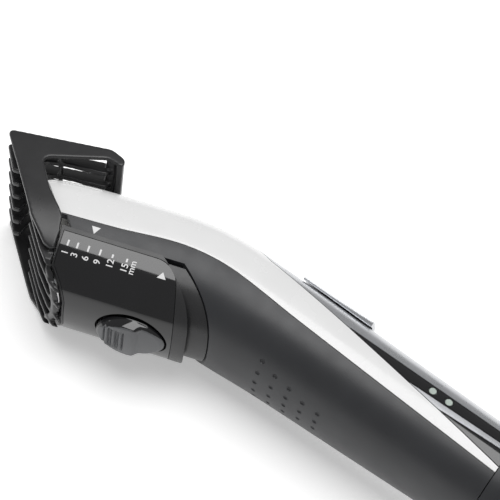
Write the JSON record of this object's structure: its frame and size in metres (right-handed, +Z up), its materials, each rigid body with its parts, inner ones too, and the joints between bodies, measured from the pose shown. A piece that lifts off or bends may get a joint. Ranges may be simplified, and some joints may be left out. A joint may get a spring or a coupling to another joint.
{
  "type": "hair clipper",
  "caption": "Cordless hair clipper lying on its side, with a bent body, a sliding length comb, a lock button, toothed blades and a power slide.",
  "frame": {"origin": "centre of the bounding box footprint, on the plane that the comb side rests on", "axes": "+X along the handle to the tail, +Y to the white side of the body, +Z up from the lower comb side to the upper one"},
  "size_m": [0.2076, 0.0612, 0.048],
  "materials": {
    "white_plastic": "gloss",
    "graphite_plastic": "fine satin texture",
    "black_plastic": "satin",
    "gloss_black_plastic": "high gloss",
    "silver_plastic": "silver lacquer",
    "steel": "ground",
    "grey_plastic": "satin gloss",
    "board_green": "solder mask",
    "cell_blue": "shrink sleeve",
    "clear_plastic": "translucent",
    "inner_plastic": "plain",
    "red_insulation": "plain",
    "black_insulation": "plain"
  },
  "bodies": {
    "housing": {"upper_shell": "white_plastic", "lower_shell": "graphite_plastic", "neck_core": "black_plastic", "top_panel": "silver_plastic", "tail_cap": "graphite_plastic", "upper_band_near": "gloss_black_plastic", "upper_band_far": "gloss_black_plastic", "silver_line_near": "silver_plastic", "silver_line_far": "silver_plastic", "lower_band_near": "gloss_black_plastic", "lower_band_far": "gloss_black_plastic", "length_rack": "inner_plastic", "fixed_blade": "steel", "blade_holder": "inner_plastic", "blade_screw_near": "steel", "blade_screw_far": "steel", "blade_spring_near": "steel", "blade_spring_far": "steel", "motor": "steel", "motor_mount": "inner_plastic", "circuit_board": "board_green", "switch_module": "black_insulation", "battery_cell_near": "cell_blue", "battery_cell_far": "cell_blue", "battery_contact_front": "steel", "battery_contact_rear": "steel", "motor_lead_near": "red_insulation", "motor_lead_far": "black_insulation", "charging_socket": "black_plastic", "socket_pin": "steel", "charge_light_1": "clear_plastic", "charge_light_2": "clear_plastic"},
    "comb": {"comb_guard": "black_plastic", "slider_frame": "black_plastic", "slider_panel": "gloss_black_plastic", "lock_spring": "steel"},
    "button": {"lock_button": "grey_plastic"},
    "cutter": {"moving_blade": "steel", "cam_follower": "inner_plastic"},
    "rotor": {"motor_shaft": "steel", "drive_cam": "inner_plastic"},
    "switch": {"power_switch": "silver_plastic"}
  },
  "joints": [
    {"name": "comb_slide", "type": "slide", "parent": "housing", "child": "comb", "axis": [-0.9323, -0.3616, 0], "range_m": [-0.0069, 0.013]},
    {"name": "lock_press", "type": "slide", "parent": "comb", "child": "button", "axis": [-0.3616, 0.9323, 0], "range_m": [0, 0.0015], "stiffness_N_per_m": 800, "springref_m": -0.0015},
    {"name": "blade_stroke", "type": "slide", "parent": "housing", "child": "cutter", "axis": [0, 0, 1], "range_m": [-0.0012, 0.0012]},
    {"name": "motor_spin", "type": "hinge", "parent": "housing", "child": "rotor", "pos_m": [-0.0579, 0.00252, 0.024], "axis": [0.9323, 0.3616, 0], "continuous": true},
    {"name": "power_slide", "type": "slide", "parent": "housing", "child": "switch", "axis": [-1, 0, 0], "range_m": [0, 0.0032]}
  ]
}
